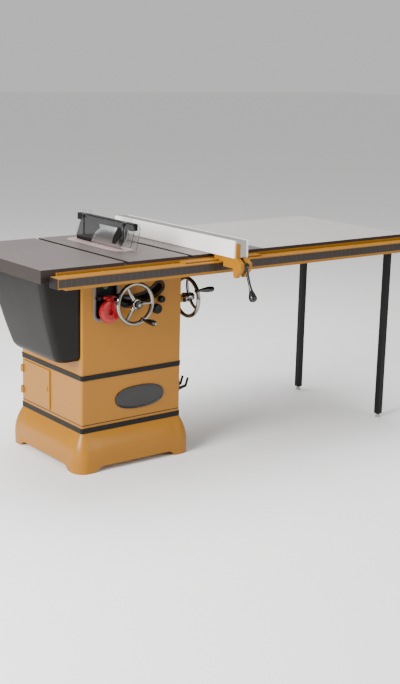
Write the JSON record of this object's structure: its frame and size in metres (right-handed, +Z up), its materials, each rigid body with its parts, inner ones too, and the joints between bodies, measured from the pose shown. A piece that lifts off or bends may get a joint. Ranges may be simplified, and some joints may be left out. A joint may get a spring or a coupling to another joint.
{
  "type": "table saw",
  "caption": "Cabinet table saw: cast tables on a flared steel cabinet, tilting and rising blade under a clear guard, rip fence on a front rail, long extension table on legs.",
  "frame": {"origin": "on the floor, under the middle of the cabinet", "axes": "+X to the operator's right, +Y away from the operator, +Z up"},
  "size_m": [1.875, 0.9659, 0.992],
  "materials": {
    "gold_paint": "smooth gloss enamel",
    "black_paint": "satin black enamel",
    "grey_cast": "as-cast, painted",
    "ground_iron": "ground and waxed",
    "steel": "bright turned",
    "chrome": "polished plate",
    "black_plastic": "fine moulded grain",
    "grip_plastic": "polished phenolic",
    "red_plastic": "moulded gloss",
    "green_plastic": "moulded gloss",
    "clear_plastic": "clear polycarbonate",
    "laminate": "grey high-pressure laminate on board",
    "face_laminate": "white laminate",
    "insert_alloy": "painted alloy insert",
    "scale_strip": "printed strip",
    "belt_rubber": "moulded ribs"
  },
  "bodies": {
    "cabinet": {"plinth": "gold_paint", "lower_cabinet": "gold_paint", "upper_cabinet": "gold_paint", "trim_bands": "black_paint", "front_badge": "black_plastic", "dust_chute": "gold_paint", "dust_port": "black_plastic", "storage_hooks": "black_paint", "arc_bezel": "black_plastic", "stop_adjusters": "black_plastic", "switch_box": "black_plastic", "main_table": "ground_iron", "left_wing": "ground_iron", "right_wing": "ground_iron", "throat_plate": "insert_alloy", "extension_top": "laminate", "extension_frame": "black_paint", "extension_legs": "black_paint", "leg_glides": "steel", "rail_angle": "gold_paint", "rail_tube": "gold_paint", "rail_caps": "black_plastic", "rail_tape": "scale_strip", "rear_rail": "gold_paint", "table_bolts": "steel", "trunnion_brackets": "grey_cast", "side_hinges": "grey_cast", "cord_gland": "black_plastic"},
    "cradle": {"trunnion_cradle": "grey_cast", "tilt_sector": "steel", "guide_posts": "steel"},
    "carriage": {"arbor_carriage": "grey_cast", "arbor_bearings": "steel", "motor_body": "grey_cast", "drive_belt": "belt_rubber", "riving_knife": "black_paint", "guard_bar": "black_paint"},
    "left_guard": {"left_shield": "clear_plastic"},
    "right_guard": {"right_shield": "clear_plastic"},
    "arbor": {"arbor_shaft": "steel", "arbor_pulley": "grey_cast", "blade_washers": "steel", "arbor_nut": "steel", "saw_blade": "steel"},
    "rotor": {"motor_rotor": "steel"},
    "raise_wheel": {"raise_handwheel": "chrome"},
    "raise_handle": {"raise_grip": "grip_plastic"},
    "raise_lock": {"raise_lock_knob": "grip_plastic"},
    "lead_screw": {"raise_screw": "steel"},
    "tilt_wheel": {"tilt_handwheel": "chrome"},
    "tilt_handle": {"tilt_grip": "grip_plastic"},
    "tilt_lock": {"tilt_lock_knob": "grip_plastic"},
    "fence": {"fence_beam": "steel", "fence_faces": "face_laminate", "fence_head": "gold_paint"},
    "lock_lever": {"fence_lever": "black_paint"},
    "cover": {"motor_cover": "black_plastic"},
    "door": {"clean_out_door": "gold_paint"},
    "paddle": {"stop_paddle": "red_plastic"},
    "start": {"start_button": "green_plastic"}
  },
  "joints": [
    {"name": "raise_crank", "type": "hinge", "parent": "cradle", "child": "raise_wheel", "pos_m": [-0.032, -0.3, 0.672], "axis": [0, 1, 0], "range_deg": [-3150, 630]},
    {"name": "blade_raise", "type": "slide", "parent": "cradle", "child": "carriage", "axis": [0, 0, 1], "range_m": [-0.0701, 0.0141]},
    {"name": "lead_screw_turn", "type": "hinge", "parent": "cradle", "child": "lead_screw", "pos_m": [-0.032, -0.141, 0.7], "axis": [0, 0, 1], "range_deg": [-3151, 631]},
    {"name": "raise_grip_spin", "type": "hinge", "parent": "raise_wheel", "child": "raise_handle", "pos_m": [0.00392, -0.35, 0.60445], "axis": [0, 1, 0], "continuous": true},
    {"name": "raise_lock_turn", "type": "hinge", "parent": "raise_wheel", "child": "raise_lock", "pos_m": [-0.032, -0.325, 0.672], "axis": [0, 1, 0], "range_deg": [0, 360]},
    {"name": "tilt_crank", "type": "hinge", "parent": "cabinet", "child": "tilt_wheel", "pos_m": [0.305, -0.185, 0.644], "axis": [1, 0, 0], "range_deg": [0, 3600]},
    {"name": "blade_tilt", "type": "hinge", "parent": "cabinet", "child": "cradle", "pos_m": [0, 0, 0.864], "axis": [0, -1, 0], "range_deg": [0, 45.05]},
    {"name": "tilt_grip_spin", "type": "hinge", "parent": "tilt_wheel", "child": "tilt_handle", "pos_m": [0.35, -0.25191, 0.68109], "axis": [1, 0, 0], "continuous": true},
    {"name": "tilt_lock_turn", "type": "hinge", "parent": "tilt_wheel", "child": "tilt_lock", "pos_m": [0.33, -0.185, 0.644], "axis": [1, 0, 0], "range_deg": [0, 360]},
    {"name": "arbor_spin", "type": "hinge", "parent": "carriage", "child": "arbor", "pos_m": [0, -0.045, 0.802], "axis": [1, 0, 0], "continuous": true},
    {"name": "motor_spin", "type": "hinge", "parent": "carriage", "child": "rotor", "pos_m": [-0.12, 0.035, 0.697], "axis": [1, 0, 0], "continuous": true},
    {"name": "left_shield_float", "type": "slide", "parent": "carriage", "child": "left_guard", "axis": [0, 0, 1], "range_m": [-0.0141, 0.0701]},
    {"name": "right_shield_float", "type": "slide", "parent": "carriage", "child": "right_guard", "axis": [0, 0, 1], "range_m": [-0.0141, 0.0701]},
    {"name": "fence_slide", "type": "slide", "parent": "cabinet", "child": "fence", "axis": [1, 0, 0], "range_m": [-0.221, 0.88]},
    {"name": "fence_lock", "type": "hinge", "parent": "fence", "child": "lock_lever", "pos_m": [0.28, -0.59, 0.839], "axis": [-1, 0, 0], "range_deg": [0, 65]},
    {"name": "cover_hinge", "type": "hinge", "parent": "cabinet", "child": "cover", "pos_m": [-0.247, 0.2, 0.711], "axis": [0, 0, -1], "range_deg": [0, 95]},
    {"name": "door_hinge", "type": "hinge", "parent": "cabinet", "child": "door", "pos_m": [-0.247, 0.224, 0.281], "axis": [0, 0, -1], "range_deg": [0, 110]},
    {"name": "stop_press", "type": "hinge", "parent": "cabinet", "child": "paddle", "pos_m": [-0.126, -0.256, 0.7], "axis": [1, 0, 0], "range_deg": [0, 6], "stiffness_Nm_per_rad": 1.5, "springref_deg": -5.73},
    {"name": "start_press", "type": "slide", "parent": "cabinet", "child": "start", "axis": [0, 1, 0], "range_m": [0, 0.004], "stiffness_N_per_m": 300, "springref_m": -0.002}
  ],
  "couplings": [
    {"joint": "blade_raise", "follows": "raise_crank", "m_per_rad": 0.0012732},
    {"joint": "lead_screw_turn", "follows": "raise_crank", "ratio": 1},
    {"joint": "left_shield_float", "follows": "raise_crank", "m_per_rad": -0.0012732},
    {"joint": "right_shield_float", "follows": "raise_crank", "m_per_rad": -0.0012732},
    {"joint": "blade_tilt", "follows": "tilt_crank", "ratio": 0.0125},
    {"joint": "motor_spin", "follows": "arbor_spin", "ratio": 0.66667}
  ]
}
